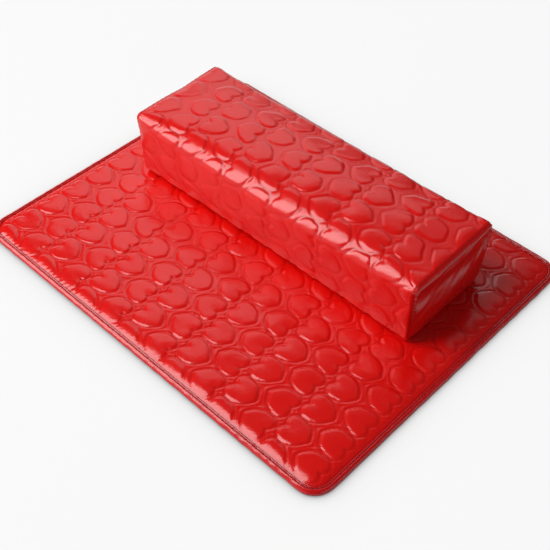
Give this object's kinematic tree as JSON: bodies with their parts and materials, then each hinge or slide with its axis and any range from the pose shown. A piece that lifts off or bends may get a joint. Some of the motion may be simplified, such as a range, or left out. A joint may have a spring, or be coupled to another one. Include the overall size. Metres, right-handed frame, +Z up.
{
  "type": "manicure hand rest",
  "caption": "Padded block cushion for the wrist, lying across the back half of a thin padded mat with round corners and a sewn edge; both are covered in glossy sheet embossed with hearts.",
  "frame": {"origin": "centre of the mat's underside, on the table", "axes": "+X along the mat and the cushion, +Y from the user's edge of the mat towards the cushion, +Z up"},
  "size_m": [0.385, 0.305, 0.0735],
  "materials": {
    "red_patent_cover": "glossy embossed imitation leather",
    "red_binding": "smooth glossy imitation leather strip",
    "red_backing": "matt backing cloth",
    "white_foam": "soft open foam"
  },
  "bodies": {
    "root": {"mat_backing": "red_backing", "mat_foam": "white_foam", "mat_cover": "red_patent_cover", "mat_edge_binding": "red_binding", "cushion_foam": "white_foam", "cushion_sleeve": "red_patent_cover", "cushion_end_panel_left": "red_patent_cover", "cushion_end_panel_right": "red_patent_cover"}
  },
  "joints": []
}
